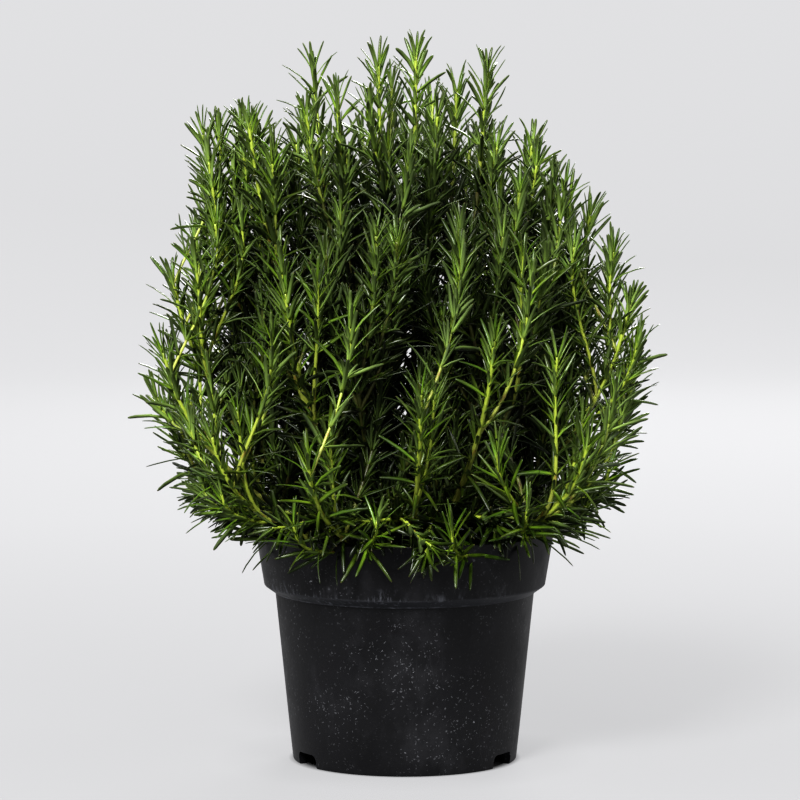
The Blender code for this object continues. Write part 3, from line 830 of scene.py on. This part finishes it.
class Needles:
    """The needles of one or more shoots, gathered until they're made into one piece."""

    def __init__(self, seed):
        self.rows = []
        self.chance = random.Random(seed)
        self.shift = 0.0  # how much older the leaves of this shoot look, at random, plus the painted shade given to the low shoots
        self.broad = 1.0  # how much broader they are
        self.depth = 1.0  # how much painted shade they take from the bush's depth

    def add(self, base, direction, towards, length, width, age_and_shade):
        """A needle that leaves base along direction, its upper side facing towards."""
        chance = self.chance
        curve = chance.gauss(-0.19, 0.13)
        for _ in range(6):
            upper = unit(towards - direction * towards.dot(direction))
            reach = [base + direction * length * t + upper * length * curve * t * t for t in (0.5, 0.8, 1)]
            if not hits_pot(reach):
                break
            direction = unit(direction + np.array([base[0] * 2, base[1] * 2, 0.35]))
            curve = max(curve, 0.05)
        else:
            return
        shade = min(max(age_and_shade + chance.gauss(0, 0.08), 0), 0.999)
        column, row = int(shade * SHADES), chance.randrange(TRIALS)
        self.rows.append((base, direction, upper, length, width, curve, chance.gauss(0, 0.5), column, row))

    def grow_on(self, route, bare):
        """Pairs of needles, each pair square to the last, with a tuft of small ones in each axil."""
        chance = self.chance
        self.shift = chance.gauss(0, 0.07) + route.aged_and_shaded
        self.broad = route.broad
        self.depth = depth_share(route)
        from_tip = 0.0
        turn = chance.uniform(0, math.tau)
        while from_tip < route.length - bare:
            centre, along, side, radius = route.at(route.length - from_tip)
            turn += math.pi / 2 + chance.gauss(0, 0.12)
            for half in (0, math.pi):
                self.grow_half_pair(centre, along, side, radius, turn + half, from_tip)
            from_tip += read_table(PAIR_STEP, from_tip) * MM * chance.uniform(0.8, 1.2)

    def grow_half_pair(self, centre, along, side, radius, turn, from_tip):
        """One needle of a pair and the small ones in its axil."""
        chance = self.chance
        other = np.cross(along, side)
        inner = inner_share(centre) * self.depth
        # The chart column: age from the tip, the shoot's own shift, and painted shade deep in the bush
        age_and_shade = 0.04 + min(from_tip / GROWN_AT, 1) * 0.46 + self.shift + inner * 0.5
        angle = read_table(NEEDLE_ANGLE, from_tip)
        length = read_table(NEEDLE_LENGTH, from_tip) * MM
        width = read_table(NEEDLE_WIDTH, from_tip) * MM * self.broad
        outward = side * math.cos(turn) + other * math.sin(turn)
        droop = 0.3 if centre[2] < POT_HEIGHT + 45 * MM else 0.0
        leaning = angle + chance.gauss(0, 10)
        self.add_leaning(centre, along, outward, radius, leaning, length, width, age_and_shade, droop)
        if from_tip < TUFTS_FROM:
            return
        tufted = 0.75 if from_tip < FULL_TUFTS else 0.45
        count = 4 if inner > 0.4 else 2 if chance.random() < tufted else 0
        for index in range(count):
            spread = (index - (count - 1) / 2) * (1.1 if count == 2 else 0.62)
            turned = turn + spread + chance.gauss(0, 0.2)
            outward = side * math.cos(turned) + other * math.sin(turned)
            middle = 1 - abs(index - (count - 1) / 2) / count
            smaller = length * chance.uniform(0.38, 0.66)
            steeper = angle * (0.85 - 0.35 * middle) + chance.gauss(0, 8)
            self.add_leaning(centre, along, outward, radius, steeper, smaller, width * 0.8, age_and_shade * 0.7, 0.0)

    def add_leaning(self, centre, along, outward, radius, angle, length, width, age_and_shade, droop):
        """A needle that leans away from the stem by this angle."""
        chance = self.chance
        lean = math.radians(angle)
        direction = along * math.cos(lean) + outward * math.sin(lean)
        direction = unit(direction - np.array([0, 0, droop * chance.uniform(0, 1.6)]))
        length *= chance.uniform(0.82, 1.12)
        width *= chance.uniform(0.85, 1.15)
        self.add(centre + outward * radius * 0.6, direction, along - outward * 0.2, length, width, age_and_shade)

    def make_piece(self, name, model, material, *nodes):
        """All needles as one mesh: each is a copy of the model, bent and turned in place."""
        points, faces, chart = model
        count = len(points)
        values = [np.array(column) for column in zip(*self.rows)]
        base, direction, upper, length, width, curve, twist, column, row = values
        across = np.cross(upper, direction)
        t = points[:, 0][None, :, None]
        bend = (curve[:, None, None] * t) * 2
        up = upper[:, None, :] - direction[:, None, :] * bend
        cos, sin = np.cos(twist)[:, None], np.sin(twist)[:, None]
        y = points[:, 1] * cos - points[:, 2] * sin
        z = points[:, 1] * sin + points[:, 2] * cos
        w = width[:, None]
        place = base[:, None, :] + direction[:, None, :] * (length[:, None, None] * t)
        place = place + upper[:, None, :] * ((length * curve)[:, None, None] * t**2)
        place = place + across[:, None, :] * (y * w)[:, :, None] + up * (z * w)[:, :, None]
        all_faces = [[index + k * count for index in face] for k in range(len(base)) for face in faces]
        obj = mesh_object(name, place.reshape(-1, 3).tolist(), all_faces)
        inside = CHART_EDGE + (1 - 2 * CHART_EDGE) * chart
        u = (column[:, None] + inside[None, :, 0]) / SHADES
        v = (row[:, None] + inside[None, :, 1]) / TRIALS
        write_chart(obj, np.stack([u, v], axis=2))
        obj.data.shade_smooth()
        return finish_piece(obj, material, "rosemary_leaf", *nodes)


def stem_piece(name, routes, material, *nodes):
    """Square stems with soft corners, a little swollen every 9 mm along them."""
    corners = np.arange(STEM_SIDES) * math.tau / STEM_SIDES
    square = np.where(np.arange(STEM_SIDES) % 2 == 0, 1.0, 0.86)
    all_points, all_faces, chart = [], [], []
    start = 0
    for route in routes:
        other = np.cross(route.along, route.side)
        swell = 1 + 0.16 * np.maximum(0, np.cos(route.marks / (9 * MM) * math.tau)) ** 6
        radius = (route.radii * STEM_GIRTH * swell)[:, None] * square
        ring = (
            route.points[:, None, :]
            + route.side[:, None, :] * (radius * np.cos(corners))[:, :, None]
            + other[:, None, :] * (radius * np.sin(corners))[:, :, None]
        )
        all_points.append(ring.reshape(-1, 3))
        down = (route.length - route.marks) / STEM_CHART
        share = depth_share(route)
        # The column picks how much painted shade each ring of the stem takes
        column = [int(inner_share(p) * share * (STEM_SHADES - 0.01)) for p in route.points]
        rings = len(route.marks)
        for k in range(rings - 1):
            for j in range(STEM_SIDES):
                a, b = start + k * STEM_SIDES + j, start + k * STEM_SIDES + (j + 1) % STEM_SIDES
                all_faces.append([a, b, b + STEM_SIDES, a + STEM_SIDES])
                left, right = (column[k] + (j + i) / STEM_SIDES * 0.9 + 0.05 for i in (0, 1))
                left, right = left / STEM_SHADES, right / STEM_SHADES
                chart += [(left, down[k]), (right, down[k]), (right, down[k + 1]), (left, down[k + 1])]
        last = start + (rings - 1) * STEM_SIDES
        all_faces.append([start + j for j in range(STEM_SIDES)][::-1])
        all_faces.append([last + j for j in range(STEM_SIDES)])
        chart += [(0.5 + 0.02 * math.cos(c), down[0] + 0.001 * math.sin(c)) for c in corners[::-1]]
        chart += [(0.5 + 0.02 * math.cos(c), 0.001 + 0.001 * math.sin(c)) for c in corners]
        start += rings * STEM_SIDES
    obj = mesh_object(name, np.concatenate(all_points).tolist(), all_faces)
    write_chart(obj, chart)
    obj.data.shade_smooth()
    return finish_piece(obj, material, "green_stem", *nodes)


def make_plant():
    """The main shoots, each in place of its CAD nodes, and the side shoots in sectors round them."""
    needle_skin = make_needle_skin()
    stem_bark = make_stem_bark()
    model = needle_model()
    names = sorted(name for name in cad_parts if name.startswith("stem_"))
    routes = [stem_route(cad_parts[name]) for name in names]
    for number, (name, route) in enumerate(zip(names, routes), start=1):
        stem_piece(f"rosemary_{name}", [route], stem_bark, name)
        needles = Needles(100 + number)
        needles.grow_on(route, MAIN_STEM_BARE)
        leaves = name.replace("stem", "leaves")
        needles.make_piece(f"rosemary_{leaves}", model, needle_skin, leaves)
    sides = [side_route(routes, *tip) for tip in (*SIDE_SHOOTS, *fill_shoots())]
    sides += [skirt_route(*shoot) for shoot in SKIRT_SHOOTS]
    for sector in range(SECTORS):
        mine = [route for route in sides if sector_of(route) == sector]
        stem_piece(f"side_stems_{sector + 1}", mine, stem_bark)
        needles = Needles(200 + sector)
        for route in mine:
            needles.grow_on(route, SIDE_STEM_BARE)
        needles.make_piece(f"side_needles_{sector + 1}", model, needle_skin)


def sector_of(route):
    x, y, _ = route.points[-1]
    return int((math.atan2(y, x) / math.tau % 1.0) * SECTORS)


def make_studio():
    """A pale round cove, with its floor under the pot and an open top; its paper glows, with a painted shadow
    under and round the pot's foot.
    """
    bend = arc((COVE_OUTLINE[-1][0] - COVE_BEND, COVE_BEND), COVE_BEND, 0, -90, 14)
    cove = turn_outline("studio_cove", [*COVE_OUTLINE, *bend, (1.2, 0.0)], 96)
    shape = bmesh.new()
    shape.from_mesh(cove.data)
    lid = max(shape.faces, key=lambda f: f.calc_center_median().z - abs(f.normal.z < 0.9) * 9)
    bmesh.ops.delete(shape, geom=[lid], context="FACES_ONLY")
    bmesh.ops.reverse_faces(shape, faces=shape.faces)
    shape.to_mesh(cove.data)
    shape.free()
    smooth_by_angle(cove, 40)
    material, shader = material_of("studio_paper", 0.9, Specular_IOR_Level=0.0)
    shader.inputs["Base Color"].default_value = (0.05, 0.05, 0.051, 1)
    shader.inputs["Emission Color"].default_value = (0.985, 0.985, 1, 1)
    place = add_node(material, "TexCoord").outputs["Object"]
    out = add_node(material, "VectorMath", {0: place}, operation="LENGTH").outputs["Value"]
    near = stretch(material, out, 0.2, 1.3, 0.418, 0.478)
    far = stretch(material, out, 1.3, 4.2, 0, 0.05)
    # Painted contact shadow: no glow under the pot, and a dimmer ring just round its foot
    beside = stretch(material, out, FOOT_RADIUS - 5 * MM, FOOT_RADIUS + 3 * MM, 0, 0.93)
    clear = stretch(material, out, FOOT_RADIUS + 3 * MM, FOOT_RADIUS + 50 * MM, 0, 0.07)
    bright = calculate(material, "ADD", near, far)
    out_of_painted_shadow = calculate(material, "ADD", beside, clear)
    link(material, times(material, bright, out_of_painted_shadow), shader.inputs["Emission Strength"])
    cove.data.materials.append(material)
    cove.visible_diffuse = False


def aim(obj, place, target):
    obj.location = place
    obj.rotation_euler = (target - Vector(place)).to_track_quat("-Z", "Y").to_euler()
    bpy.context.scene.collection.objects.link(obj)


def add_softbox(name, place, width, height, power):
    light = bpy.data.lights.new(name, "AREA")
    light.shape = "RECTANGLE"
    light.size, light.size_y = width, height
    light.energy = power
    aim(bpy.data.objects.new(name, light), place, PLANT_MIDDLE)


def light_studio():
    """A strong key from the front, soft light from every other side and dim air that is lighter below."""
    scene = bpy.context.scene
    scene.view_settings.view_transform = "Standard"
    scene.view_settings.look = "High Contrast"
    world = bpy.data.worlds.new("studio_air")
    world.use_nodes = True
    background = world.node_tree.nodes["Background"]
    background.inputs["Color"].default_value = (0.95, 0.97, 1, 1)
    from_where = add_node(world, "TexCoord").outputs["Generated"]
    rise = add_node(world, "SeparateXYZ", {"Vector": from_where}).outputs["Z"]
    link(world, stretch(world, rise, -0.35, 0.0, 0.42, 0.075), background.inputs["Strength"])
    scene.world = world
    for softbox in SOFTBOXES:
        add_softbox(*softbox)


def place_camera():
    camera = bpy.data.cameras.new("camera")
    camera.lens = CAMERA_LENS
    camera.sensor_width = 36
    view = bpy.data.objects.new("camera", camera)
    aim(view, CAMERA_PLACE, CAMERA_TARGET)
    bpy.context.scene.camera = view


make_pot(make_pot_plastic())
soil_earth = make_soil_earth()
make_soil(soil_earth)
scatter_grains("soil_crumbs", CRUMB_COUNT, 1.0 * MM, 2.8 * MM, 3, soil_earth)
scatter_grains("pale_grit", GRIT_COUNT, 0.8 * MM, 1.7 * MM, 4, make_grit())
make_plant()
make_studio()
light_studio()
place_camera()
